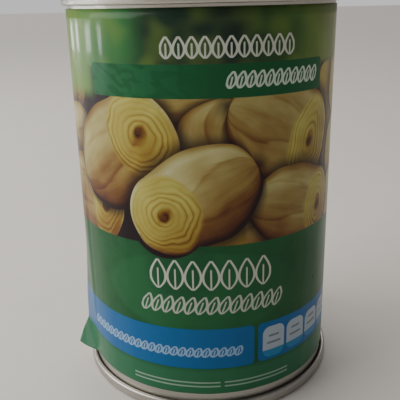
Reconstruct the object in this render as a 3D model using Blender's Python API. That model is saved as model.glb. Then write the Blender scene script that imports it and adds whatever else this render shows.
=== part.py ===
"""Labelled steel food can with double-seamed ends, packed with artichoke hearts.

The can stands on z = 0 with its axis on Z, and the front of its label faces -Y.
Lengths are in metres. Every turned piece has its facets at the same angles, so
thin pieces nest inside each other with small, even gaps.
"""

import math

import bmesh
import bpy
from mathutils import Matrix, Vector

MM = 0.001

# Can body and plate
CAN_HEIGHT = 110.0 * MM
BODY_RADIUS = 36.5 * MM
PLATE = 0.25 * MM
FACETS = 48
FACET_ANGLE = 2 * math.pi / FACETS
FACET_MIDDLE = math.cos(FACET_ANGLE / 2)

# Double seams: the plies stand side by side, a clearance apart
PLY_CLEARANCE = 0.28 * MM
SEAM_HEIGHT = 3.1 * MM
COMPOUND_SPACE = 0.6 * MM
HOOK_CLEARANCE = 0.35 * MM
BEND = 0.22 * MM
SEAM_SHOULDER = 0.5 * MM

# Ends, as depths below the rim
COUNTERSINK_DEPTH = 3.2 * MM
PANEL_DEPTH = 2.3 * MM
COUNTERSINK_WIDTH = 1.0 * MM
PANEL_STEP = 0.9 * MM
RING_HEIGHT = 0.45 * MM
RING_WIDTH = 1.6 * MM
RING_FLANK = 0.7 * MM
RING_SPACING = 6.5 * MM
RINGS = 2

# Paper label
PAPER = 0.10 * MM
PAPER_GAP = 0.15 * MM
LABEL_ABOVE_SEAM = 2.5 * MM
LABEL_BELOW_SEAM = 0.7 * MM
LAP_WIDTH = 10.0 * MM
LAP_FACET = -11
CORNER_WIDTH = 16.0 * MM
CORNER_HEIGHT = 20.0 * MM
CORNER_LIFT = 2.5 * MM
CORNER_ROWS = 4

# Glue strips
GLUE_CLEARANCE = 0.04 * MM
GLUE_WIDTH = 3.2 * MM
GLUE_MARGIN = 3.0 * MM

# Contents
HEARTS_PER_LAYER = 3
LAYERS = 2
HEADSPACE = 6.0 * MM
HEART_CLEARANCE = 0.4 * MM
HEART_FACETS = 20
LEAF_ROWS = 5
LEAF_DEPTH = 0.06
LEAF_TWIST = 2.4

# Heart outline from stem cut to tip, as shares of its radius and length
HEART_OUTLINE = (
    (0.00, 0.00),
    (0.38, 0.00),
    (0.72, 0.05),
    (0.93, 0.18),
    (1.00, 0.36),
    (0.97, 0.54),
    (0.87, 0.72),
    (0.69, 0.87),
    (0.46, 0.97),
    (0.26, 1.00),
    (0.12, 0.95),
    (0.00, 0.90),
)

PLY_PITCH = PLATE + PLY_CLEARANCE
WALL_MIDDLE = BODY_RADIUS - PLATE / 2
CHUCK_WALL = WALL_MIDDLE - PLY_PITCH
COVER_HOOK = WALL_MIDDLE + PLY_PITCH
BODY_HOOK = WALL_MIDDLE + 2 * PLY_PITCH
SEAM_WALL = WALL_MIDDLE + 3 * PLY_PITCH
INNER_RADIUS = BODY_RADIUS - PLATE

BODY_BEND_DEPTH = PLATE + COMPOUND_SPACE + PLATE / 2
BODY_HOOK_DEPTH = SEAM_HEIGHT - PLATE - HOOK_CLEARANCE
COVER_HOOK_DEPTH = BODY_BEND_DEPTH + PLATE / 2 + HOOK_CLEARANCE

LABEL_BOTTOM = SEAM_HEIGHT + LABEL_ABOVE_SEAM
LABEL_HEIGHT = CAN_HEIGHT - SEAM_HEIGHT - LABEL_BELOW_SEAM - LABEL_BOTTOM
LAP_FACETS = max(2, round(LAP_WIDTH / (BODY_RADIUS * FACET_ANGLE)))
LABEL_INNER = BODY_RADIUS + PAPER_GAP
LAP_INNER = LABEL_INNER + PAPER + PAPER_GAP

END_THICKNESS = COUNTERSINK_DEPTH + PLATE
CONTENTS_BOTTOM = END_THICKNESS + HEART_CLEARANCE
CONTENTS_TOP = CAN_HEIGHT - END_THICKNESS - HEADSPACE


def empty_the_scene():
    for item in list(bpy.data.objects):
        bpy.data.objects.remove(item)


def make_material(name, colour, roughness, metallic=0.0):
    material = bpy.data.materials.new(name)
    material.use_nodes = True
    shader = material.node_tree.nodes["Principled BSDF"]
    shader.inputs["Base Color"].default_value = (*colour, 1.0)
    shader.inputs["Roughness"].default_value = roughness
    shader.inputs["Metallic"].default_value = metallic
    return material


def make_object(name, mesh, material):
    mesh.materials.clear()
    mesh.materials.append(material)
    item = bpy.data.objects.new(name, mesh)
    bpy.context.scene.collection.objects.link(item)
    return item


def finish_mesh(name, bm, smooth=True):
    bmesh.ops.remove_doubles(bm, verts=bm.verts, dist=1e-7)
    bmesh.ops.recalc_face_normals(bm, faces=bm.faces)
    mesh = bpy.data.meshes.new(name)
    bm.to_mesh(mesh)
    bm.free()
    if smooth:
        mesh.shade_smooth()
        mesh.set_sharp_from_angle(angle=math.radians(35))
    return mesh


def eased_corners(path, cut):
    """The path with each inner corner replaced by a short chamfer, as plate bends."""
    eased = [path[0]]
    for before, corner, after in zip(path, path[1:], path[2:]):
        for neighbour in (before, after):
            leg = neighbour - corner
            eased.append(corner + leg.normalized() * min(cut, leg.length * 0.4))
    eased.append(path[-1])
    return eased


def plate_section(path, thickness):
    """Outline of bent plate whose middle line is the path, mitred at every bend."""
    sides = ([], [])
    for i, point in enumerate(path):
        arriving = (point - path[max(i - 1, 0)]).normalized()
        leaving = (path[min(i + 1, len(path) - 1)] - point).normalized()
        first = arriving if i else leaving
        last = leaving if i < len(path) - 1 else arriving
        normals = [Vector((-step.y, step.x)) for step in (first, last)]
        mitre = (normals[0] + normals[1]) / (1 + normals[0].dot(normals[1]))
        for side, sign in zip(sides, (1, -1)):
            side.append(point + mitre * (sign * thickness / 2))
    return sides[0] + sides[1][::-1]


def turned(name, outline, facets=FACETS, closed=True):
    """Spins an outline of (radius, height) points round Z."""
    bm = bmesh.new()
    verts = [bm.verts.new((radius, 0.0, height)) for radius, height in outline]
    for first, second in zip(verts, verts[1:]):
        bm.edges.new((first, second))
    if closed:
        bm.edges.new((verts[-1], verts[0]))
    bmesh.ops.spin(
        bm,
        geom=bm.verts[:] + bm.edges[:],
        cent=(0, 0, 0),
        axis=(0, 0, 1),
        angle=2 * math.pi,
        steps=facets,
        use_merge=True,
    )
    return finish_mesh(name, bm)


def body_mesh():
    """Tube whose flanged ends turn back outside it as the seams' body hooks."""
    half = [
        Vector((BODY_HOOK, BODY_HOOK_DEPTH)),
        Vector((BODY_HOOK, BODY_BEND_DEPTH)),
        Vector((WALL_MIDDLE, BODY_BEND_DEPTH)),
    ]
    mirrored = [Vector((point.x, CAN_HEIGHT - point.y)) for point in reversed(half)]
    return turned("can_body", plate_section(eased_corners(half + mirrored, BEND), PLATE))


def panel_path():
    """Middle line of the end's panel, from the axis out to the countersink."""
    panel = -PANEL_DEPTH - PLATE / 2
    edge = CHUCK_WALL - COUNTERSINK_WIDTH - PANEL_STEP
    path = [Vector((0.0, panel))]
    for ring in reversed(range(RINGS)):
        middle = edge - (ring + 1) * RING_SPACING
        for offset, rise in (
            (-RING_WIDTH / 2 - RING_FLANK, 0.0),
            (-RING_WIDTH / 2, RING_HEIGHT),
            (RING_WIDTH / 2, RING_HEIGHT),
            (RING_WIDTH / 2 + RING_FLANK, 0.0),
        ):
            path.append(Vector((middle + offset, panel + rise)))
    path.append(Vector((edge, panel)))
    return path


def end_mesh():
    """Can end with its rim at z = 0: panel, countersink, chuck wall and seam."""
    groove = -COUNTERSINK_DEPTH - PLATE / 2
    rim = -PLATE / 2
    countersink = [
        Vector((CHUCK_WALL - COUNTERSINK_WIDTH, groove)),
        Vector((CHUCK_WALL - BEND, groove)),
        Vector((CHUCK_WALL, groove + BEND)),
    ]
    over_the_rim = [
        Vector((CHUCK_WALL, rim - SEAM_SHOULDER)),
        Vector((CHUCK_WALL + SEAM_SHOULDER, rim)),
        Vector((SEAM_WALL - SEAM_SHOULDER, rim)),
        Vector((SEAM_WALL, rim - SEAM_SHOULDER)),
    ]
    tuck = eased_corners(
        [
            Vector((SEAM_WALL, -SEAM_HEIGHT + 2 * BEND)),
            Vector((SEAM_WALL, -SEAM_HEIGHT + PLATE / 2)),
            Vector((COVER_HOOK, -SEAM_HEIGHT + PLATE / 2)),
            Vector((COVER_HOOK, -COVER_HOOK_DEPTH)),
        ],
        BEND,
    )
    path = panel_path() + countersink + over_the_rim + tuck[1:]
    return turned("can_end", plate_section(path, PLATE), closed=False)


def compound_mesh():
    """Sealing ring between the rim of the end and the bend of the body hook."""
    top = -PLATE - PLY_CLEARANCE / 2
    bottom = -PLATE - COMPOUND_SPACE + PLY_CLEARANCE / 2
    inner = WALL_MIDDLE
    outer = BODY_HOOK
    outline = ((inner, bottom), (outer, bottom), (outer, top), (inner, top))
    return turned("seam_compound", outline)


def label_radius(facet, height):
    """Inner radius of the paper, a number of facets from its outer end."""
    radius = LABEL_INNER
    if facet <= LAP_FACETS:
        radius = LAP_INNER
    along = facet * FACET_ANGLE * BODY_RADIUS / CORNER_WIDTH
    up = height / CORNER_HEIGHT
    return radius + CORNER_LIFT * max(0.0, 1.0 - along - up)


def label_mesh():
    """One sheet round the can, lapped over its own first end, with a loose corner."""
    rows = [CORNER_HEIGHT * row / CORNER_ROWS for row in range(CORNER_ROWS + 1)]
    rows.append(LABEL_HEIGHT)
    columns = FACETS + LAP_FACETS + 1
    bm = bmesh.new()
    grid = []
    for height in rows:
        line = []
        for facet in range(columns):
            angle = (LAP_FACET + facet) * FACET_ANGLE
            radius = label_radius(facet, height)
            place = (radius * math.sin(angle), -radius * math.cos(angle), LABEL_BOTTOM + height)
            line.append(bm.verts.new(place))
        grid.append(line)
    for lower, upper in zip(grid, grid[1:]):
        for i in range(columns - 1):
            bm.faces.new((lower[i], lower[i + 1], upper[i + 1], upper[i]))
    mesh = bpy.data.meshes.new("paper_label")
    bm.to_mesh(mesh)
    bm.free()
    mesh.shade_smooth()
    return mesh


def add_thickness(item, thickness):
    solidify = item.modifiers.new("paper thickness", "SOLIDIFY")
    solidify.thickness = thickness
    solidify.offset = 1.0


def glue_mesh(name, gap_inner, facet, low, high):
    """Flat strip of glue in the paper gap that starts at a radius, over one facet."""
    thickness = (PAPER_GAP - 2 * GLUE_CLEARANCE) * FACET_MIDDLE
    distance = (gap_inner + PAPER_GAP / 2) * FACET_MIDDLE
    angle = (facet + 0.5) * FACET_ANGLE
    place = (
        Matrix.Rotation(angle, 4, "Z")
        @ Matrix.Translation((0.0, -distance, (low + high) / 2))
        @ Matrix.Diagonal((GLUE_WIDTH, thickness, high - low, 1.0))
    )
    bm = bmesh.new()
    bmesh.ops.create_cube(bm, size=1.0, matrix=place)
    return finish_mesh(name, bm, smooth=False)


def heart_size():
    """Radius and length of hearts that fill the can, touching neither it nor each other."""
    spread = 1.0 / math.sin(math.pi / HEARTS_PER_LAYER)
    free_radius = INNER_RADIUS * FACET_MIDDLE - HEART_CLEARANCE
    radius = (free_radius - spread * HEART_CLEARANCE / 2) / (1.0 + spread)
    gaps = (LAYERS - 1) * HEART_CLEARANCE
    length = (CONTENTS_TOP - CONTENTS_BOTTOM - gaps) / LAYERS
    return radius, length


def heart_mesh():
    """Artichoke heart standing on its stem cut, with shallow overlapping leaves."""
    radius, length = heart_size()
    outline = [(share * radius, rise * length) for share, rise in HEART_OUTLINE]
    mesh = turned("artichoke_heart", outline, facets=HEART_FACETS, closed=False)
    for vert in mesh.vertices:
        angle = math.atan2(vert.co.y, vert.co.x)
        wave = math.cos(LEAF_ROWS * angle + LEAF_TWIST * math.pi * vert.co.z / length)
        shrink = 1.0 - LEAF_DEPTH * (0.5 + 0.5 * wave)
        vert.co.x *= shrink
        vert.co.y *= shrink
    return mesh


def place_hearts(material):
    """Lower layer on the stem cuts, upper layer turned over and moved half a space round."""
    mesh = heart_mesh()
    radius, length = heart_size()
    distance = INNER_RADIUS * FACET_MIDDLE - HEART_CLEARANCE - radius
    spacing = 2 * math.pi / HEARTS_PER_LAYER
    for layer in range(LAYERS):
        turned_over = layer % 2
        bottom = CONTENTS_BOTTOM + layer * (length + HEART_CLEARANCE)
        for place in range(HEARTS_PER_LAYER):
            angle = (place + layer / 2) * spacing
            number = layer * HEARTS_PER_LAYER + place + 1
            heart = make_object(f"artichoke_heart_{number}", mesh, material)
            heart.rotation_euler = (math.pi * turned_over, 0.0, angle)
            heart.location = (
                distance * math.cos(angle),
                distance * math.sin(angle),
                bottom + length * turned_over,
            )


def build():
    empty_the_scene()
    body_steel = make_material("body tinplate", (0.62, 0.62, 0.58), 0.32, 1.0)
    end_steel = make_material("end tinplate", (0.66, 0.66, 0.62), 0.28, 1.0)
    compound = make_material("sealing compound", (0.42, 0.40, 0.36), 0.8)
    label_paper = make_material("printed label paper", (0.06, 0.24, 0.12), 0.3)
    glue = make_material("label glue", (0.72, 0.62, 0.38), 0.5)
    leaves = make_material("cooked artichoke", (0.52, 0.46, 0.20), 0.5)

    make_object("can_body", body_mesh(), body_steel)

    lid = end_mesh()
    ring = compound_mesh()
    for side, height, turn in (("top", CAN_HEIGHT, 0.0), ("bottom", 0.0, math.pi)):
        for name, mesh, material in (
            (f"{side}_end", lid, end_steel),
            (f"{side}_seam_compound", ring, compound),
        ):
            piece = make_object(name, mesh, material)
            piece.location.z = height
            piece.rotation_euler.x = turn

    label = make_object("paper_label", label_mesh(), label_paper)
    add_thickness(label, PAPER)

    label_top = LABEL_BOTTOM + LABEL_HEIGHT - GLUE_MARGIN
    make_object(
        "label_pickup_glue",
        glue_mesh(
            "label_pickup_glue",
            BODY_RADIUS,
            LAP_FACET + LAP_FACETS - 1,
            LABEL_BOTTOM + GLUE_MARGIN,
            label_top,
        ),
        glue,
    )
    make_object(
        "label_lap_glue",
        glue_mesh(
            "label_lap_glue",
            LABEL_INNER + PAPER,
            LAP_FACET,
            LABEL_BOTTOM + CORNER_HEIGHT + GLUE_MARGIN,
            label_top,
        ),
        glue,
    )
    place_hearts(leaves)


build()
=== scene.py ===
"""Looks of the labelled food can: paper label, tinplate ends and body, contents, light and camera.

Lengths are in metres unless a name says mm. The label is a flat sheet rolled round
the can, and its print is laid out in millimetres on that sheet: `across` is the arc
from the middle of the front, and `up` is the height above the can's base.
"""

import math

import bmesh
import bpy
from mathutils import Matrix, Vector


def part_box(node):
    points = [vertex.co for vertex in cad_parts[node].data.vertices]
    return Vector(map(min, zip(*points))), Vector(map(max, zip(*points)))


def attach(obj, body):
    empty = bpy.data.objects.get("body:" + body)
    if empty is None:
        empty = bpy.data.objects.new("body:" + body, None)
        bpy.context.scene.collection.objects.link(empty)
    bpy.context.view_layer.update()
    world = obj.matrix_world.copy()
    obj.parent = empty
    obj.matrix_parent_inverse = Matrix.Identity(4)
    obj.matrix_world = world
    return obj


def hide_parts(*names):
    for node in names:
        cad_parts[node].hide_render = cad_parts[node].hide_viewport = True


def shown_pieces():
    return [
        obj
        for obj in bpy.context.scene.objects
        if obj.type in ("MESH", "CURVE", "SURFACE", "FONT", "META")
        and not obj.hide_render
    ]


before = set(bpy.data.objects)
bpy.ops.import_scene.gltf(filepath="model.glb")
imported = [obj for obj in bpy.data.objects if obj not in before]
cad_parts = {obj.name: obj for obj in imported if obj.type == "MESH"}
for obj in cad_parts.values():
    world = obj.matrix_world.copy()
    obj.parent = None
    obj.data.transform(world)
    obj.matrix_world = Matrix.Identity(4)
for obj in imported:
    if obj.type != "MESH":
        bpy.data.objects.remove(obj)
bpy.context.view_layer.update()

MM = 0.001
FULL_TURN = 2 * math.pi

# Sizes read from the frame
LABEL_LOW, LABEL_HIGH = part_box("paper_label")
SEAM_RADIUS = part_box("top_end")[1].x
CAN_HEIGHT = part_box("top_end")[1].z
LABEL_RADIUS = LABEL_HIGH.x

# Plate and double seam, as in the frame. Radii are of the plate's middle
PLATE = 0.25 * MM
PLY_PITCH = 0.53 * MM
SEAM_HEIGHT = 3.1 * MM
SEAM_WALL = SEAM_RADIUS - PLATE / 2
BODY_HOOK = SEAM_WALL - PLY_PITCH
COVER_HOOK = SEAM_WALL - 2 * PLY_PITCH
WALL_MIDDLE = SEAM_WALL - 3 * PLY_PITCH
CHUCK_WALL = SEAM_WALL - 4 * PLY_PITCH
HOOK_BEND_DEPTH = 0.975 * MM
BODY_HOOK_DEPTH = 2.5 * MM
COVER_HOOK_DEPTH = 1.45 * MM

# Panel of an end, inside its seam
COUNTERSINK_DEPTH = 3.2 * MM
COUNTERSINK_WIDTH = 1.0 * MM
PANEL_DEPTH = 2.3 * MM
PANEL_EDGE = CHUCK_WALL - COUNTERSINK_WIDTH - 0.9 * MM
RING_SPACING = 6.5 * MM
RING_PROFILE = ((-1.5, 0.0), (-0.8, 0.45), (0.8, 0.45), (1.5, 0.0))

# Bend radii of the plate
HOOK_BEND = 0.4 * MM
RING_BEND = 0.3 * MM
PANEL_BEND = 0.35 * MM
RIM_BEND = 0.7 * MM
SEAM_FOOT_BEND = 0.45 * MM
BEND_SEGMENTS = 5
TURN_STEPS = 180

# Label sheet
PAPER = 0.1 * MM
LAP_LIFT = 0.25 * MM
LAP = 9.6 * MM
LAP_EASE = 3.0 * MM
LABEL_END_ANGLE = math.radians(-82.5)

# Print layout, in mm on the sheet
PRINT_RADIUS = LABEL_RADIUS / MM
HALF_TURN_MM = math.pi * PRINT_RADIUS
PICTURE_LOW = 49.3
PICTURE_HIGH = 92.5

# Share of the colour below that an element's point carries, too small to see
TRACE = 1e-6


# --- Shader node helpers -------------------------------------------------


class Value:
    """A number or vector inside a node tree. Arithmetic on it adds Math nodes."""

    def __init__(self, nodes, socket):
        self.nodes = nodes
        self.socket = socket

    def __add__(self, other):
        return self.nodes.math("ADD", self, other)

    def __radd__(self, other):
        return self.nodes.math("ADD", other, self)

    def __sub__(self, other):
        return self.nodes.math("SUBTRACT", self, other)

    def __rsub__(self, other):
        return self.nodes.math("SUBTRACT", other, self)

    def __mul__(self, other):
        return self.nodes.math("MULTIPLY", self, other)

    def __rmul__(self, other):
        return self.nodes.math("MULTIPLY", other, self)

    def __truediv__(self, other):
        return self.nodes.math("DIVIDE", self, other)

    def __pow__(self, other):
        return self.nodes.math("POWER", self, other)

    def __abs__(self):
        return self.nodes.math("ABSOLUTE", self)


class Nodes:
    """Adds nodes to one tree and joins them."""

    def __init__(self, tree):
        self.tree = tree

    def join(self, value, socket):
        if isinstance(value, Value):
            self.tree.links.new(value.socket, socket)
        elif isinstance(value, (tuple, list)) and socket.type == "RGBA":
            socket.default_value = (*value[:3], 1.0)
        else:
            socket.default_value = value

    def add(self, kind, inputs=None, output=0, **settings):
        node = self.tree.nodes.new(kind)
        for name, value in settings.items():
            setattr(node, name, value)
        for key, value in (inputs or {}).items():
            self.join(value, node.inputs[key])
        return Value(self, node.outputs[output])

    def math(self, operation, *values, clamp=False):
        inputs = dict(enumerate(values))
        return self.add("ShaderNodeMath", inputs, operation=operation, use_clamp=clamp)

    def largest(self, first, second):
        return self.math("MAXIMUM", first, second)

    def smallest(self, first, second):
        return self.math("MINIMUM", first, second)

    def clamped(self, value):
        return self.math("ADD", value, 0.0, clamp=True)

    def vector(self, x, y, z=0.0):
        return self.add("ShaderNodeCombineXYZ", {0: x, 1: y, 2: z})

    def parts(self, vector):
        node = self.tree.nodes.new("ShaderNodeSeparateXYZ")
        self.join(vector, node.inputs[0])
        return [Value(self, socket) for socket in node.outputs]

    def fade(self, value, low, high):
        """0 below low, 1 above high, smooth between. Low may be above high."""
        inputs = {0: value, 1: low, 2: high, 3: 0.0, 4: 1.0}
        return self.add("ShaderNodeMapRange", inputs, interpolation_type="SMOOTHSTEP")

    def mix(self, factor, first, second, blend="MIX"):
        inputs = {0: factor, 6: first, 7: second}
        return self.add(
            "ShaderNodeMix", inputs, output=2, data_type="RGBA", blend_type=blend
        )

    def noise(self, vector, scale, detail=2.0, roughness=0.5, output=0):
        inputs = {"Vector": vector, "Scale": scale, "Detail": detail, "Roughness": roughness}
        return self.add("ShaderNodeTexNoise", inputs, output=output)

    def ramp(self, factor, stops):
        node = self.tree.nodes.new("ShaderNodeValToRGB")
        elements = node.color_ramp.elements
        for position, colour in stops[1:-1]:
            elements.new(position).color = (*colour, 1.0)
        elements[0].position, elements[-1].position = stops[0][0], stops[-1][0]
        elements[0].color, elements[-1].color = (*stops[0][1], 1.0), (*stops[-1][1], 1.0)
        self.join(factor, node.inputs[0])
        return Value(self, node.outputs[0])

    def use(self, group, **inputs):
        """Places a node group and returns its outputs by name."""
        node = self.tree.nodes.new("ShaderNodeGroup")
        node.node_tree = group
        for name, value in inputs.items():
            self.join(value, node.inputs[name.replace("_", " ")])
        return {socket.name: Value(self, socket) for socket in node.outputs}


SOCKETS = {"number": "NodeSocketFloat", "vector": "NodeSocketVector", "colour": "NodeSocketColor"}


def node_group(name, inputs, outputs):
    """A decorator: the function draws the group's inside and returns its outputs."""

    def build(draw):
        tree = bpy.data.node_groups.new(name, "ShaderNodeTree")
        for label, kind in inputs.items():
            tree.interface.new_socket(label, in_out="INPUT", socket_type=SOCKETS[kind])
        for label, kind in outputs.items():
            tree.interface.new_socket(label, in_out="OUTPUT", socket_type=SOCKETS[kind])
        nodes = Nodes(tree)
        entry = tree.nodes.new("NodeGroupInput")
        leave = tree.nodes.new("NodeGroupOutput")
        given = [Value(nodes, entry.outputs[label]) for label in inputs]
        for label, value in zip(outputs, draw(nodes, *given)):
            nodes.join(value, leave.inputs[label])
        return tree

    return build


# --- Print elements ------------------------------------------------------

PLACE = {"Point": "vector", "Centre": "vector"}


@node_group("rounded panel", {**PLACE, "Half Size": "vector", "Corner": "number"}, {"Mask": "number"})
def rounded_panel(n, point, centre, half_size, corner):
    """Flat rectangle with round corners."""
    (x, y, _), (cx, cy, _), (hx, hy, _) = n.parts(point), n.parts(centre), n.parts(half_size)
    over_x = abs(x - cx) - hx + corner
    over_y = abs(y - cy) - hy + corner
    reach_x, reach_y = n.largest(over_x, 0.0), n.largest(over_y, 0.0)
    outside = n.math("SQRT", reach_x * reach_x + reach_y * reach_y)
    inside = n.smallest(n.largest(over_x, over_y), 0.0)
    return [n.fade(outside + inside - corner, 0.09, -0.09)]


@node_group("soft spot", {**PLACE, "Half Size": "vector", "Blur": "number"}, {"Mask": "number"})
def soft_spot(n, point, centre, half_size, blur):
    """Out-of-focus oval."""
    (x, y, _), (cx, cy, _), (hx, hy, _) = n.parts(point), n.parts(centre), n.parts(half_size)
    dx, dy = (x - cx) / hx, (y - cy) / hy
    radius = n.math("SQRT", dx * dx + dy * dy)
    return [n.fade(radius, 1.0 + blur, 1.0 - blur)]


@node_group(
    "leaf border",
    {**PLACE, "Half Size": "vector", "Pitch": "number", "Slant": "number"},
    {"Mask": "number"},
)
def leaf_border(n, point, centre, half_size, pitch, slant):
    """Row of outlined pointed leaves, each with a midrib, as a plain ornament."""
    (x, y, _), (cx, cy, _), (hx, hy, _) = n.parts(point), n.parts(centre), n.parts(half_size)
    rise = (y - cy) / hy
    along = (x - cx) - slant * (y - cy)
    cell = n.math("FRACT", along / pitch + 0.5) - 0.5
    belly = n.largest(1.0 - rise * rise, 0.0)
    half_width = 0.44 * belly * (1.0 - 0.28 * rise)
    edge = abs(abs(cell) - half_width) * pitch
    outline = n.fade(edge, 0.42, 0.2)
    rib = n.fade(abs(cell) * pitch, 0.3, 0.12) * n.fade(rise, 0.45, 0.3)
    rows = n.fade(abs(rise), 1.0, 0.97)
    ends = n.fade(abs(along) - hx, 0.05, -0.05)
    return [n.largest(outline, rib) * rows * ends]


GAP_DARK = (0.013, 0.006, 0.009)
HEART_TONES = (
    (0.00, (0.020, 0.008, 0.006)),
    (0.20, (0.080, 0.024, 0.008)),
    (0.38, (0.165, 0.068, 0.014)),
    (0.55, (0.265, 0.168, 0.034)),
    (0.72, (0.375, 0.298, 0.080)),
    (0.88, (0.480, 0.420, 0.145)),
    (1.00, (0.560, 0.510, 0.250)),
)


@node_group(
    "pictured heart",
    {
        **PLACE,
        "Warp": "vector",
        "Below": "colour",
        "Angle": "number",
        "Length": "number",
        "Radius": "number",
        "Squash": "number",
        "Rings": "number",
        "Hollow": "number",
        "Tone": "number",
        "Seed": "number",
    },
    {"Colour": "colour"},
)
def pictured_heart(n, point, centre, warp, below, angle, length, radius, squash, rings, hollow, tone, seed):
    """A cooked heart lying on its side: leafy barrel, and an end of rolled leaves.

    Local x runs along the heart from the middle of its end, and y across it.
    """
    (px, py, _), (cx, cy, _), (wx, wy, wz) = n.parts(point), n.parts(centre), n.parts(warp)
    # The picture repeats every half turn, so it has no seam round the can
    trace = n.parts(below)[0] * TRACE
    dx = n.math("WRAP", px - cx + trace, HALF_TURN_MM / 2, -HALF_TURN_MM / 2) + wx
    dy = py - cy + wy
    cosine, sine = n.math("COSINE", angle), n.math("SINE", angle)
    x = dx * cosine + dy * sine
    y = dy * cosine - dx * sine
    light_x = -0.45 * cosine + 0.89 * sine
    light_y = 0.89 * cosine + 0.45 * sine

    share = x / length
    taper = n.largest((share - 0.25) / 0.75, 0.0)
    # A heart seen more from its end bulges more behind it
    swell = 1.0 + 0.42 * (squash - 0.45) * n.fade(share, 0.0, 0.5)
    half = radius * swell * n.math("SQRT", n.largest(1.0 - taper**2.4, 0.0))
    side = n.clamped((y / n.largest(half, 0.01)) * 0.5 + 0.5) * 2.0 - 1.0
    ex, ey = x / (radius * squash), y / radius
    end_radius = n.math("SQRT", ex * ex + ey * ey)
    depth = half - abs(y)
    body = n.fade(depth, -0.12, 0.12) * n.fade(x, -0.1, 0.1) * n.fade(share, 1.0, 0.99)
    end = n.fade(end_radius, 1.0, 0.975)
    mask = n.largest(body, end)
    near_body = n.fade(depth, -4.2, 0.5) * n.fade(x, -3.0, 0.0) * n.fade(x - length, 4.2, 0.0)
    shadow = n.largest(near_body, n.fade(end_radius, 1.35, 1.0))

    # Barrel: round shading, fibres and the edges of overlapping leaves
    fibres = n.noise(n.vector(x * 0.06, side * 3.0, seed), 1.0, 3.0, 0.55)
    blotch = n.noise(n.vector(x, y, seed), 0.10, 2.0) - 0.5
    fold = side - 0.55 * share - 0.05 + 0.25 * (fibres - 0.5)
    second_fold = side + 0.35 * share * share + 0.42 + 0.2 * (fibres - 0.5)
    creases = n.largest(n.fade(abs(fold), 0.09, 0.0), n.fade(abs(second_fold), 0.07, 0.0))
    round_light = 0.60 - 0.13 * share + 0.36 * side * light_y + 0.24 * taper * taper * light_x
    barrel = round_light - 0.30 * n.fade(depth, 2.6, 0.0) + 0.42 * (fibres - 0.5) - 0.07 * creases
    barrel = barrel + 0.09 * n.fade(fold, 0.0, 0.04) - 0.13 * side * side + 0.34 * blotch

    # End: leaves rolled in a loose spiral round a hollow
    turn = n.math("ARCTAN2", ey, ex) / FULL_TURN
    lobes = n.math("SINE", turn * 2.0 * FULL_TURN + seed * 3.0)
    ragged = n.noise(n.vector(ex * 1.6, ey * 1.6, seed), 1.0, 2.0) - 0.5
    loose = end_radius * (1.0 + 0.08 * lobes) + wz * 0.06 + ragged * 0.26
    coil = loose**1.25 * rings + turn + seed
    wave = n.math("SINE", coil * FULL_TURN)
    gap = n.fade(wave, -0.72, -1.0)
    strength = n.fade(n.math("SINE", turn * FULL_TURN + seed * 5.0 + loose * 9.0), -0.8, 0.9)
    in_rings = n.fade(loose, 0.97, 0.88) * n.fade(rings, 0.0, 0.5)
    ridge = (0.055 * wave - 0.08 * gap) * (0.35 + strength)
    pit = n.fade(loose + 0.45 * abs(ey - 0.35 * ex), hollow + 0.20, hollow - 0.12)
    face_light = 0.62 + 0.18 * (ex * light_x + ey * light_y) - 0.05 * n.fade(loose, 0.72, 1.0)
    face = face_light + (ridge - 0.5 * pit) * in_rings + 0.20 * (fibres - 0.5) + 0.34 * blotch

    on_end = n.fade(end_radius, 1.0, 0.86)
    level = barrel + on_end * (face - barrel) + tone
    tint = n.mix(on_end, (0.97, 1.03, 1.40), (1.02, 1.08, 0.88))
    colour = n.mix(1.0, n.ramp(level, HEART_TONES), tint, "MULTIPLY")
    shaded = n.mix(shadow * 0.85, below, GAP_DARK)
    return [n.mix(mask, shaded, colour)]


# Each heart in the picture, lowest layer first: middle of its end (across, up), angle from
# the end to the tail in degrees, length, radius, squash of the end, rings, hollow, tone
PICTURED_HEARTS = (
    ((-42.0, 89.5), 195, 18.0, 9.0, 0.60, 5.4, 0.20, -0.06),
    ((10.0, 84.5), 184, 24.0, 8.5, 0.60, 0.0, 0.00, -0.04),
    ((12.0, 90.5), -6, 24.0, 9.0, 0.55, 5.4, 0.18, -0.02),
    ((42.0, 88.0), 266, 24.0, 8.5, 0.60, 0.0, 0.00, -0.05),
    ((50.0, 84.0), 75, 18.0, 9.0, 0.80, 6.0, 0.14, 0.02),
    ((-28.0, 68.0), 250, 24.0, 9.0, 0.60, 0.0, 0.00, -0.06),
    ((-52.0, 71.0), 4, 22.0, 10.5, 0.60, 6.0, 0.12, 0.04),
    ((47.0, 66.5), 12, 24.0, 10.5, 0.60, 6.0, 0.14, 0.00),
    ((4.0, 66.0), 84, 20.0, 11.0, 0.80, 0.0, 0.00, -0.03),
    ((4.0, 51.5), 2, 24.0, 8.5, 0.70, 0.0, 0.00, -0.05),
    ((-29.0, 57.0), 172, 24.0, 10.4, 0.66, 5.6, 0.22, 0.00),
    ((29.5, 73.5), 156, 26.0, 12.2, 0.66, 6.2, 0.14, 0.06),
    ((-16.5, 77.0), 214, 26.0, 12.2, 0.80, 6.6, 0.18, 0.06),
    ((46.0, 53.5), 4, 24.0, 9.0, 0.60, 0.0, 0.00, -0.01),
    ((35.0, 55.0), 168, 25.0, 10.2, 0.66, 5.8, 0.16, 0.01),
    ((-10.0, 57.2), 28, 26.0, 11.2, 0.86, 7.0, 0.16, 0.06),
)


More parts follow.
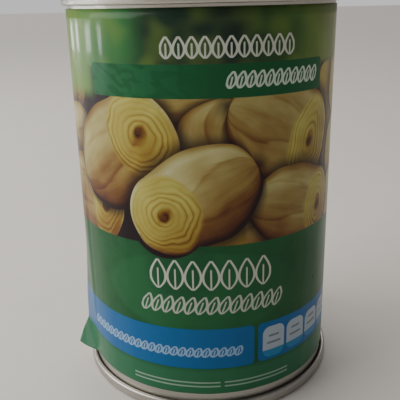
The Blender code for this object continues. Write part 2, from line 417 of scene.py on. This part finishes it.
@node_group("hearts picture", {"Point": "vector"}, {"Colour": "colour"})
def hearts_picture(n, point):
    """A heap of cooked hearts with dark gaps between them."""
    x, y, _ = n.parts(point)
    drift = n.noise(n.vector(x, y, 4.0), 0.12, 0.0, output=1)
    red, green, blue = n.parts(drift)
    warp = n.vector((red - 0.5) * 1.6, (green - 0.5) * 1.6, (blue - 0.5) * 3.0)
    colour = GAP_DARK
    for seed, (centre, angle, length, radius, squash, rings, hollow, tone) in enumerate(PICTURED_HEARTS):
        placed = n.use(
            pictured_heart,
            Point=point,
            Centre=(*centre, 0.0),
            Warp=warp,
            Below=colour,
            Angle=math.radians(angle),
            Length=length,
            Radius=radius,
            Squash=squash,
            Rings=rings,
            Hollow=hollow,
            Tone=tone,
            Seed=seed * 1.37,
        )
        colour = placed["Colour"]
    return [colour]


GARDEN_TONES = (
    (0.00, (0.110, 0.210, 0.045)),
    (0.16, (0.150, 0.260, 0.050)),
    (0.24, (0.095, 0.230, 0.062)),
    (0.31, (0.035, 0.150, 0.045)),
    (0.40, (0.016, 0.040, 0.024)),
    (0.54, (0.010, 0.022, 0.020)),
    (0.66, (0.026, 0.072, 0.022)),
    (0.76, (0.080, 0.150, 0.032)),
    (0.84, (0.150, 0.180, 0.040)),
    (1.00, (0.110, 0.210, 0.045)),
)


@node_group("garden backdrop", {"Point": "vector"}, {"Colour": "colour"})
def garden_backdrop(n, point):
    """Out-of-focus foliage, bright at the sides and near black in the middle."""
    x, y, _ = n.parts(point)
    drift = n.noise(n.vector(x, y * 0.7, 9.0), 0.055, 1.0)
    place = n.math("FRACT", (x + 26.0 * (drift - 0.5)) / HALF_TURN_MM + 0.5)
    colour = n.ramp(place, GARDEN_TONES)
    blots = n.noise(n.vector(x, y, 2.0), 0.11, 1.0)
    return [n.mix(n.fade(blots, 0.42, 0.70) * 0.45, colour, (0.16, 0.25, 0.045))]


# Inks of the label
DEEP_GREEN = (0.008, 0.078, 0.023)
LEAF_GREEN = (0.012, 0.098, 0.032)
SOFT_GREEN = (0.022, 0.150, 0.055)
SHADOW_GREEN = (0.004, 0.045, 0.020)
FOOT_GREEN = (0.026, 0.145, 0.066)
BANNER_GREEN = (0.005, 0.088, 0.029)
CURL_GREEN = (0.022, 0.180, 0.070)
SKY_BLUE = (0.007, 0.108, 0.300)
TAB_BLUE = (0.03, 0.20, 0.40)
TAB_GREY = (0.36, 0.43, 0.50)
TAB_RULE = (0.05, 0.06, 0.07)
PALE_INK = (0.50, 0.53, 0.46)
BANNER_INK = (0.50, 0.58, 0.50)
BAND_INK = (0.36, 0.52, 0.70)
FOOT_RULE = (0.34, 0.46, 0.38)
TABLE_PAPER = (0.70, 0.70, 0.60)
TABLE_RULE = (0.10, 0.17, 0.11)


class LabelPrint:
    """Lays printed elements over each other.

    Each element reads its place from a point that carries a trace of the colour laid
    before it. So the elements are worked out one after another, and the shader never
    holds more values at once than it has room for.
    """

    def __init__(self, nodes, point):
        self.nodes = nodes
        self.start = point
        self.point = point
        self.colour = (0.0, 0.0, 0.0)

    def lay(self, mask, ink):
        self.colour = self.nodes.mix(mask, self.colour, ink)
        inputs = {0: self.colour, 1: (TRACE, TRACE, TRACE), 2: self.start}
        self.point = self.nodes.add("ShaderNodeVectorMath", inputs, operation="MULTIPLY_ADD")

    def place(self, group, centre, half_size, **inputs):
        centre, half_size = (*centre, 0.0), (*half_size, 0.0)
        sockets = dict(Point=self.point, Centre=centre, Half_Size=half_size, **inputs)
        return self.nodes.use(group, **sockets)["Mask"]

    def panel(self, centre, half_size, corner):
        return self.place(rounded_panel, centre, half_size, Corner=corner)

    def spot(self, centre, half_size, blur):
        return self.place(soft_spot, centre, half_size, Blur=blur)

    def leaves(self, centre, half_size, pitch, slant=0.0):
        return self.place(leaf_border, centre, half_size, Pitch=pitch, Slant=slant)


@node_group("label print", {"Point": "vector"}, {"Colour": "colour"})
def label_print(n, point):
    """The whole printed layout, in mm on the sheet."""
    x, y, _ = n.parts(point)
    printing = LabelPrint(n, point)
    lay, panel, spot, leaves = printing.lay, printing.panel, printing.spot, printing.leaves

    # Green ground with faint large shapes
    mottle = n.noise(n.vector(x, y, 1.0), 0.09, 2.0)
    lay(1.0, n.mix(n.fade(mottle, 0.35, 0.65), DEEP_GREEN, LEAF_GREEN))
    lay(spot((-2.0, 36.0), (27.0, 11.5), 0.06) * 0.35, SOFT_GREEN)
    lay(spot((-7.0, 43.0), (9.0, 9.0), 0.3) * 0.35, SHADOW_GREEN)
    lay(spot((18.0, 38.0), (7.0, 9.0), 0.35) * 0.30, SHADOW_GREEN)
    lay(n.fade(y, 14.5, 12.0) * 0.9, FOOT_GREEN)

    # Picture of hearts, whose front heart reaches down over the green ground
    hearts = n.use(hearts_picture, Point=printing.point)["Colour"]
    front_heart = spot((-10.0, 57.0), (11.1, 11.4), 0.015)
    lay(n.largest(n.fade(y, PICTURE_LOW - 0.08, PICTURE_LOW + 0.08), front_heart), hearts)

    # Foliage above, and beside the banner at the left
    garden = n.use(garden_backdrop, Point=printing.point)["Colour"]
    left_edge = n.fade(x, -29.0, -34.0) * n.fade(y, 84.0, 88.0)
    lay(n.largest(n.fade(y, PICTURE_HIGH - 1.0, PICTURE_HIGH + 1.0), left_edge), garden)

    # Banner with faint curling leaves, and leaf ornaments in place of words
    swirl = n.noise(n.vector(x + 0.6 * y, y * 1.6, 7.0), 0.07, 3.0)
    curls = n.fade(abs(n.math("FRACT", swirl * 7.0) - 0.5), 0.06, 0.30) * n.fade(x, 4.0, -20.0)
    lay(panel((1.4, 90.0), (32.4, 3.9), 1.1), n.mix(0.30 * curls, BANNER_GREEN, CURL_GREEN))
    lay(leaves((6.5, 97.6), (16.5, 2.5), 3.0), PALE_INK)
    lay(leaves((18.5, 90.2), (13.2, 2.0), 2.4, 0.25), BANNER_INK)
    lay(leaves((1.0, 41.2), (16.31, 4.2), 4.66), PALE_INK)
    lay(leaves((1.5, 32.6), (19.5, 2.6), 3.0, 0.35) * 0.85, PALE_INK)

    # Blue band and blue box with blank tabs
    lay(panel((-48.4, 19.6), (61.0, 6.0), 1.3), SKY_BLUE)
    lay(panel((44.7, 19.6), (31.0, 5.9), 1.3), SKY_BLUE)
    lay(leaves((-16.0, 18.6), (25.3, 1.5), 2.2, 0.3) * 0.7, BAND_INK)
    for tab in range(6):
        middle = 18.7 + 8.0 * tab
        tab_ink = n.mix(n.fade(y, 16.6, 16.9), TAB_BLUE, TAB_GREY)
        lay(panel((middle, 19.2 - 0.15 * tab), (3.55, 4.7 - 0.3 * min(tab, 2)), 2.2), tab_ink)
        for row, width in ((21.0, 1.7), (18.9, 2.3)):
            lay(panel((middle, row), (width, 0.32), 0.3) * 0.65, TAB_RULE)

    # Thin rules along the foot
    for middle, half_width in ((-9.5, 12.6), (14.0, 9.8)):
        for row in (9.1, 7.9):
            lay(panel((middle, row), (half_width, 0.22), 0.2) * 0.75, FOOT_RULE)

    # Pale blank table on the back
    lines = n.fade(abs(n.math("FRACT", y / 5.2) - 0.5), 0.46, 0.48)
    lay(panel((HALF_TURN_MM, 56.0), (27.0, 32.0), 2.0), TABLE_PAPER)
    lay(panel((HALF_TURN_MM, 56.0), (24.0, 29.0), 0.5) * lines, TABLE_RULE)
    return [printing.colour]


@node_group(
    "rolled plate",
    {"Point": "vector", "Grain": "vector", "Seed": "number"},
    {"Shade": "number", "Roughness": "number", "Height": "number"},
)
def rolled_plate(n, point, grain, seed):
    """Tinplate: fine rolling grain, faint cloudiness and a few rubbed marks. Point is in mm."""
    (x, y, z), (gx, gy, gz) = n.parts(point), n.parts(grain)
    along = n.vector(x * gx, y * gy, z * gz + seed)
    lines = n.noise(along, 1.0, 4.0, 0.7)
    cloud = n.noise(n.vector(x, y, z + seed), 0.12, 3.0)
    rubs = n.noise(n.vector(x * 0.8, y * 0.8, z * 2.5 + seed), 0.9, 5.0, 0.75)
    marks = n.fade(rubs, 0.60, 0.70)
    shade = n.clamped(0.80 + 0.25 * (lines - 0.5) + 0.30 * (cloud - 0.5) - 0.18 * marks)
    rough = n.clamped(0.32 + 0.16 * (lines - 0.5) + 0.22 * (cloud - 0.35) + 0.25 * marks)
    return [shade, rough, lines + 0.4 * marks]


@node_group(
    "coated paper",
    {"Point": "vector"},
    {"Roughness": "number", "Height": "number", "Rub": "number"},
)
def coated_paper(n, point):
    """Glossy label stock: slow waves down the can, fibre tooth and rubbed places. Point is in mm."""
    x, y, _ = n.parts(point)
    waves = n.noise(n.vector(x * 0.16, y * 0.02, 3.0), 1.0, 2.0)
    ripples = n.noise(n.vector(x * 0.30, y * 0.10, 8.0), 1.0, 2.0)
    tooth = n.noise(n.vector(x, y, 0.0), 3.2, 2.0)
    rub = n.fade(n.noise(n.vector(x * 0.5, y * 1.2, 5.0), 0.35, 5.0, 0.7), 0.60, 0.74)
    height = waves * 0.55 + ripples * 0.22 + tooth * 0.012
    rough = n.clamped(0.30 + 0.12 * (ripples - 0.5) + 0.08 * rub)
    return [rough, height, rub]


# --- Materials -----------------------------------------------------------


def new_material(name):
    material = bpy.data.materials.new(name)
    material.use_nodes = True
    material.node_tree.nodes.clear()
    return material, Nodes(material.node_tree)


def finish_material(n, **sockets):
    """Adds the shader and the output, and sets or joins the shader's sockets by name."""
    shader = n.tree.nodes.new("ShaderNodeBsdfPrincipled")
    for name, value in sockets.items():
        n.join(value, shader.inputs[name.replace("_", " ")])
    output = n.tree.nodes.new("ShaderNodeOutputMaterial")
    n.tree.links.new(shader.outputs[0], output.inputs["Surface"])


def object_point_mm(n):
    place = n.add("ShaderNodeTexCoord", output="Object")
    return n.add("ShaderNodeVectorMath", {0: place, 3: 1 / MM}, operation="SCALE")


def bump(n, height, distance, strength=1.0):
    inputs = {"Height": height, "Distance": distance, "Strength": strength}
    return n.add("ShaderNodeBump", inputs)


def sheet_point_mm(n):
    """The sheet's own UV map, turned into mm on the print."""
    uv = n.add("ShaderNodeUVMap", uv_map=SHEET_UV)
    size = (SHEET_WIDTH / MM, SHEET_HEIGHT / MM, 1.0)
    start = (LABEL_END_ANGLE * PRINT_RADIUS, LABEL_LOW.z / MM, 0.0)
    return n.add("ShaderNodeVectorMath", {0: uv, 1: size, 2: start}, operation="MULTIPLY_ADD")


def printed_paper():
    material, n = new_material("printed label")
    point = sheet_point_mm(n)
    ink = n.use(label_print, Point=point)["Colour"]
    paper = n.use(coated_paper, Point=point)
    worn = n.mix(paper["Rub"] * 0.015, ink, (0.75, 0.77, 0.72))
    finish_material(
        n,
        Base_Color=worn,
        Roughness=paper["Roughness"],
        Specular_IOR_Level=0.11,
        Coat_Weight=0.13,
        Coat_Roughness=0.08,
        Normal=bump(n, paper["Height"], 0.25 * MM),
    )
    return material


def plain_paper():
    material, n = new_material("label back paper")
    point = sheet_point_mm(n)
    x, y, _ = n.parts(point)
    fibres = n.noise(n.vector(x, y, 0.0), 1.4, 5.0, 0.7)
    colour = n.mix(fibres, (0.70, 0.69, 0.63), (0.82, 0.81, 0.76))
    rough = n.clamped(0.75 + 0.2 * (fibres - 0.5))
    finish_material(n, Base_Color=colour, Roughness=rough, Normal=bump(n, fibres, 0.02 * MM))
    return material


def tinplate(name, grain, seed):
    """Bright tinplate with its rolling grain along the axis with the largest number."""
    material, n = new_material(name)
    point = object_point_mm(n)
    plate = n.use(rolled_plate, Point=point, Grain=grain, Seed=seed)
    colour = n.mix(plate["Shade"], (0.20, 0.19, 0.17), (0.50, 0.48, 0.44))
    finish_material(
        n,
        Base_Color=colour,
        Metallic=1.0,
        Roughness=plate["Roughness"],
        Normal=bump(n, plate["Height"], 0.012 * MM),
    )
    return material


def soft_solid(name, dark, light, scale, roughness, height=0.1 * MM):
    """Opaque soft stuff, such as sealing compound or glue, with a mottled colour."""
    material, n = new_material(name)
    point = object_point_mm(n)
    mottle = n.noise(point, scale, 4.0, 0.6)
    colour = n.mix(n.fade(mottle, 0.3, 0.7), dark, light)
    rough = n.clamped(roughness + 0.2 * (mottle - 0.5))
    finish_material(n, Base_Color=colour, Roughness=rough, Normal=bump(n, mottle, height))
    return material


def cooked_heart():
    material, n = new_material("cooked artichoke")
    x, y, z = n.parts(object_point_mm(n))
    fibres = n.noise(n.vector(x, y, z * 0.12), 0.9, 5.0, 0.65)
    patches = n.noise(n.vector(x, y, z), 0.12, 2.0)
    colour = n.mix(n.fade(fibres, 0.3, 0.7), (0.26, 0.20, 0.06), (0.50, 0.45, 0.20))
    colour = n.mix(n.fade(patches, 0.5, 0.7) * 0.6, colour, (0.34, 0.20, 0.05))
    rough = n.clamped(0.38 + 0.2 * (fibres - 0.5))
    finish_material(
        n,
        Base_Color=colour,
        Roughness=rough,
        Subsurface_Weight=0.15,
        Subsurface_Scale=2.0 * MM,
        Normal=bump(n, fibres, 0.3 * MM),
    )
    return material


def pale_floor():
    material, n = new_material("pale floor")
    point = n.add("ShaderNodeTexCoord", output="Object")
    grain = n.noise(point, 60.0, 4.0, 0.6)
    colour = n.mix(grain, (0.70, 0.66, 0.615), (0.75, 0.715, 0.67))
    finish_material(n, Base_Color=colour, Roughness=0.55, Normal=bump(n, grain, 0.05 * MM))
    return material


# --- Meshes --------------------------------------------------------------


def make_piece(name, bm, materials, smooth_angle=40.0):
    mesh = bpy.data.meshes.new(name)
    bm.to_mesh(mesh)
    bm.free()
    for material in materials:
        mesh.materials.append(material)
    mesh.shade_smooth()
    mesh.set_sharp_from_angle(angle=math.radians(smooth_angle))
    item = bpy.data.objects.new(name, mesh)
    bpy.context.scene.collection.objects.link(item)
    return item


def add_wall(item, thickness, offset, **settings):
    solidify = item.modifiers.new("thickness", "SOLIDIFY")
    solidify.thickness = thickness
    solidify.offset = offset
    solidify.use_even_offset = True
    for name, value in settings.items():
        setattr(solidify, name, value)


def turned_sheet(name, path, bends, materials):
    """Spins the middle line of bent plate round Z. Bends are (corner number, radius)."""
    bm = bmesh.new()
    verts = [bm.verts.new((radius, 0.0, height)) for radius, height in path]
    for first, second in zip(verts, verts[1:]):
        bm.edges.new((first, second))
    for radius in sorted({radius for _, radius in bends}):
        bmesh.ops.bevel(
            bm,
            geom=[verts[corner] for corner, size in bends if size == radius],
            offset=radius,
            segments=BEND_SEGMENTS,
            profile=0.5,
            affect="VERTICES",
            material=-1,
        )
    bmesh.ops.spin(
        bm,
        geom=bm.verts[:] + bm.edges[:],
        cent=(0, 0, 0),
        axis=(0, 0, 1),
        angle=FULL_TURN,
        steps=TURN_STEPS,
        use_merge=True,
    )
    bmesh.ops.remove_doubles(bm, verts=bm.verts, dist=1e-6)
    bmesh.ops.recalc_face_normals(bm, faces=bm.faces)
    return make_piece(name, bm, materials)


def can_body():
    """Tube with its flanged ends turned back outside it, as the seams' body hooks."""
    half = [
        (BODY_HOOK, BODY_HOOK_DEPTH),
        (BODY_HOOK, HOOK_BEND_DEPTH),
        (WALL_MIDDLE, HOOK_BEND_DEPTH),
    ]
    path = half + [(radius, CAN_HEIGHT - height) for radius, height in reversed(half)]
    bends = [(corner, HOOK_BEND) for corner in range(1, len(path) - 1)]
    material = tinplate("body tinplate", (0.5, 0.5, 9.0), 3.0)
    item = turned_sheet("can_body_plate", path, bends, [material])
    add_wall(item, PLATE, 0.0)
    return item


def end_path():
    """Middle line of a can end, as depths below its rim, and its bends."""
    panel = PANEL_DEPTH + PLATE / 2
    groove = COUNTERSINK_DEPTH + PLATE / 2
    rim = PLATE / 2
    foot = SEAM_HEIGHT - PLATE / 2
    path = [(0.0, panel)]
    bends = []
    for middle in (PANEL_EDGE - 2 * RING_SPACING, PANEL_EDGE - RING_SPACING):
        for offset, rise in RING_PROFILE:
            bends.append((len(path), RING_BEND))
            path.append((middle + offset * MM, panel - rise * MM))
    turns = (
        (PANEL_EDGE, panel, PANEL_BEND),
        (CHUCK_WALL - COUNTERSINK_WIDTH, groove, PANEL_BEND),
        (CHUCK_WALL, groove, PANEL_BEND),
        (CHUCK_WALL, rim, RIM_BEND),
        (SEAM_WALL, rim, RIM_BEND),
        (SEAM_WALL, foot, SEAM_FOOT_BEND),
        (COVER_HOOK, foot, SEAM_FOOT_BEND),
    )
    for radius, depth, bend in turns:
        bends.append((len(path), bend))
        path.append((radius, depth))
    path.append((COVER_HOOK, COVER_HOOK_DEPTH))
    return path, bends


def can_end(name, base, direction, material):
    """One end, seamed on. Depths run from the base height in the given direction."""
    path, bends = end_path()
    placed = [(radius, base + direction * depth) for radius, depth in path]
    item = turned_sheet(name, placed, bends, [material])
    add_wall(item, PLATE, 0.0)
    return item


SHEET_UV = "sheet"
SHEET_WIDTH = FULL_TURN * LABEL_RADIUS + LAP
SHEET_HEIGHT = LABEL_HIGH.z - LABEL_LOW.z
PAPER_WAVE = 0.022 * MM

# The grid is finer near the loose corner
FINE_WIDTH = 24.0 * MM
FINE_HEIGHT = 18.0 * MM
COLUMNS = 200
FINE_COLUMNS = 72
ROWS = 84
FINE_ROWS = 50

# Loose end: height up the can in mm, and how far in from its end the paper has come away
LOOSE_EDGE = ((5.6, 14.5), (10.0, 13.0), (24.0, 9.3), (39.0, 3.6), (47.0, 0.0), (110.0, 0.0))
LOOSE_CURL = 260.0 * MM

# Dog-eared corner: the ends of its crease, its bend, and how its tip curls back
CREASE_IN = Vector((9.5 * MM, 0.0))
CREASE_UP = Vector((0.0, 8.5 * MM))
CREASE_TURN = math.radians(48)
CREASE_BEND = 1.4 * MM
CURL_BACK = math.radians(24)
CURL_START = 1.8 * MM
CURL_REACH = 2.8 * MM
FOLD_STEPS = 24
CORNER_SAG = 1.6 * MM
SAG_REACH = 14.0 * MM


def stepped(share, count, fine_count, fine_length, length):
    """Position along a side whose first steps are finer than the rest."""
    step = share * count
    if step <= fine_count:
        return fine_length * step / fine_count
    return fine_length + (length - fine_length) * (step - fine_count) / (count - fine_count)


def eased(share):
    share = min(max(share, 0.0), 1.0)
    return share * share * (3 - 2 * share)


def loose_width(height):
    """How much of the sheet's outer end stands free of the can at a height."""
    for (low, wide), (high, narrow) in zip(LOOSE_EDGE, LOOSE_EDGE[1:]):
        if height <= high * MM:
            share = (height - low * MM) / ((high - low) * MM)
            return (wide + (narrow - wide) * max(share, 0.0)) * MM
    return 0.0


def sheet_radius(along, height):
    """Outer radius of the paper where it lies on the can, with slight waves."""
    lift = LAP_LIFT * (1.0 - eased((along - LAP) / LAP_EASE))
    angle = along / LABEL_RADIUS
    wave = math.sin(9 * angle + 0.4 * math.sin(height * 60)) + math.sin(23 * angle + height * 45)
    return LABEL_RADIUS + lift + PAPER_WAVE * (wave + 1.2)


def rolled_place(along, height):
    """Where a point of the flat sheet goes when it is rolled round the can."""
    loose = loose_width(height)
    held = max(along, loose)
    angle = LABEL_END_ANGLE + held / LABEL_RADIUS
    radius = sheet_radius(held, height)
    place = Vector((radius * math.sin(angle), -radius * math.cos(angle), height))
    forward = Vector((math.cos(angle), math.sin(angle), 0.0))
    outward = Vector((math.sin(angle), -math.cos(angle), 0.0))
    free = max(loose - along, 0.0)
    curl = free * free / (2.0 * LOOSE_CURL)
    return place - forward * free - outward * curl


def past_the_crease(distance):
    """How far out and how high the paper has gone, this far past the crease."""
    step = distance / FOLD_STEPS
    flat = raised = 0.0
    for number in range(FOLD_STEPS):
        gone = (number + 0.5) * step
        turn = CREASE_TURN * eased(gone / CREASE_BEND)
        turn -= CURL_BACK * eased((gone - CURL_START) / CURL_REACH)
        flat += step * math.cos(turn)
        raised += step * math.sin(turn)
    return flat, raised


def folded_corner(along, up):
    """Turns the dog-eared corner outward about its crease. Gives its place and its rise."""
    crease = (CREASE_UP - CREASE_IN).normalized()
    square = Vector((-crease.y, crease.x))
    point = Vector((along, up))
    past = (point - CREASE_IN).dot(square)
    if past <= 0:
        return point, 0.0
    flat, raised = past_the_crease(past)
    return point + square * (flat - past), raised


def label_sheet():
    """Flat sheet, rolled round the can, with its loose corner folded outward."""
    bm = bmesh.new()
    bmesh.ops.create_grid(bm, x_segments=COLUMNS, y_segments=ROWS, size=0.5)
    uv_layer = bm.loops.layers.uv.new(SHEET_UV)
    flat = {}
    for vert in bm.verts:
        along = stepped(vert.co.x + 0.5, COLUMNS, FINE_COLUMNS, FINE_WIDTH, SHEET_WIDTH)
        up = stepped(vert.co.y + 0.5, ROWS, FINE_ROWS, FINE_HEIGHT, SHEET_HEIGHT)
        flat[vert] = Vector((along, up))
    for face in bm.faces:
        for loop in face.loops:
            along, up = flat[loop.vert]
            loop[uv_layer].uv = (along / SHEET_WIDTH, up / SHEET_HEIGHT)
    crease_foot = rolled_place(CREASE_IN.x, LABEL_LOW.z)
    crease_top = rolled_place(CREASE_UP.x, LABEL_LOW.z + CREASE_UP.y)
    fold_normal = Vector((0.0, 0.0, 1.0)).cross(crease_top - crease_foot).normalized()
    for vert, (along, up) in flat.items():
        sag = CORNER_SAG * eased(1.0 - along / SAG_REACH) * eased(1.0 - up / SAG_REACH)
        (along, up), raised = folded_corner(along, up)
        vert.co = rolled_place(along, LABEL_LOW.z + up) + fold_normal * raised
        vert.co.z -= sag
    item = make_piece("label_sheet", bm, [printed_paper(), plain_paper()], 60.0)
    add_wall(item, PAPER, -1.0, material_offset=1, material_offset_rim=1)
    return item


# --- Pieces --------------------------------------------------------------


def add_pieces():
    end_material = tinplate("end tinplate", (0.6, 9.0, 0.6), 11.0)
    placed = (
        (can_body(), "can_body", "body_tinplate"),
        (can_end("top_end_plate", CAN_HEIGHT, -1, end_material), "top_end", "end_tinplate"),
        (can_end("bottom_end_plate", 0.0, 1, end_material), "bottom_end", "end_tinplate"),
        (label_sheet(), "paper_label", "label_paper"),
    )
    for item, node, slot in placed:
        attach(item, "root")
        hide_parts(node)


def finish_kept_nodes():
    compound = soft_solid("sealing compound", (0.30, 0.28, 0.25), (0.44, 0.42, 0.38), 900.0, 0.7)
    glue = soft_solid("label glue", (0.55, 0.42, 0.18), (0.72, 0.60, 0.34), 400.0, 0.25)
    heart = cooked_heart()
    looks = {"compound": compound, "glue": glue, "heart": heart}
    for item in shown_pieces():
        for word, material in looks.items():
            if word in item.name:
                for material_slot in item.material_slots:
                    material_slot.material = material


def add_floor():
    bm = bmesh.new()
    bmesh.ops.create_grid(bm, x_segments=2, y_segments=2, size=FLOOR_REACH)
    floor = make_piece("floor", bm, [pale_floor()])


# --- Light and camera ----------------------------------------------------

TARGET = Vector((0.0, 0.0, CAN_HEIGHT / 2))
FLOOR_REACH = 8.0

# Strength of the grey room, as a light and as the camera sees it
ROOM_LIGHT = 0.22
ROOM_SEEN = 0.70

SKY_PLACE = Vector((-0.25, 0.6, 0.8))
SKY_SPREAD = math.radians(70)

CAMERA_PLACE = (-0.000413, -0.17165, 0.10742)
CAMERA_TURN = 0.0073
CAMERA_DIP = 0.3271
CAMERA_ROLL = -0.0228
CAMERA_LENS = 52.77


def add_light(name, place, size, power, colour):
    data = bpy.data.lights.new(name, "AREA")
    data.shape = "RECTANGLE"
    data.size, data.size_y = size
    data.energy = power
    data.color = colour
    item = bpy.data.objects.new(name, data)
    item.location = place
    item.visible_camera = False
    item.rotation_euler = (TARGET - Vector(place)).to_track_quat("-Z", "Y").to_euler()
    bpy.context.scene.collection.objects.link(item)


# Small bright panes low at the left, which show as glints near the label's top
PANES = (
    ((-0.630, 0.005, 0.066), 0.20),
    ((-0.590, 0.180, 0.068), 0.17),
    ((-0.500, 0.350, 0.070), 0.16),
)


def add_lights():
    world = bpy.data.worlds.new("soft grey room")
    world.use_nodes = True
    background = world.node_tree.nodes["Background"]
    background.inputs["Color"].default_value = (0.97, 0.97, 0.98, 1.0)
    n = Nodes(world.node_tree)
    seen = n.add("ShaderNodeLightPath", output="Is Camera Ray")
    n.join(seen * (ROOM_SEEN - ROOM_LIGHT) + ROOM_LIGHT, background.inputs["Strength"])
    bpy.context.scene.world = world
    add_light("window", (-0.90, -0.14, 0.55), (1.0, 0.8), 11.0, (1.0, 0.98, 0.94))
    for pane, (place, power) in enumerate(PANES):
        add_light(f"window_pane_{pane}", place, (0.055, 0.032), power, (0.95, 0.98, 1.0))
    sky = bpy.data.lights.new("skylight", "SUN")
    sky.energy = 1.7
    sky.angle = SKY_SPREAD
    sky.color = (1.0, 0.96, 0.91)
    item = bpy.data.objects.new("skylight", sky)
    item.rotation_euler = SKY_PLACE.to_track_quat("Z", "Y").to_euler()
    bpy.context.scene.collection.objects.link(item)


def add_camera():
    data = bpy.data.cameras.new("camera")
    data.sensor_width = 36.0
    data.lens = CAMERA_LENS
    data.clip_start = 0.01
    camera = bpy.data.objects.new("camera", data)
    turn = Matrix.Rotation(CAMERA_TURN, 4, "Z")
    dip = Matrix.Rotation(math.pi / 2 - CAMERA_DIP, 4, "X")
    roll = Matrix.Rotation(CAMERA_ROLL, 4, "Z")
    camera.matrix_world = Matrix.Translation(CAMERA_PLACE) @ turn @ dip @ roll
    bpy.context.scene.collection.objects.link(camera)
    bpy.context.scene.camera = camera


add_pieces()
finish_kept_nodes()
add_floor()
add_lights()
add_camera()
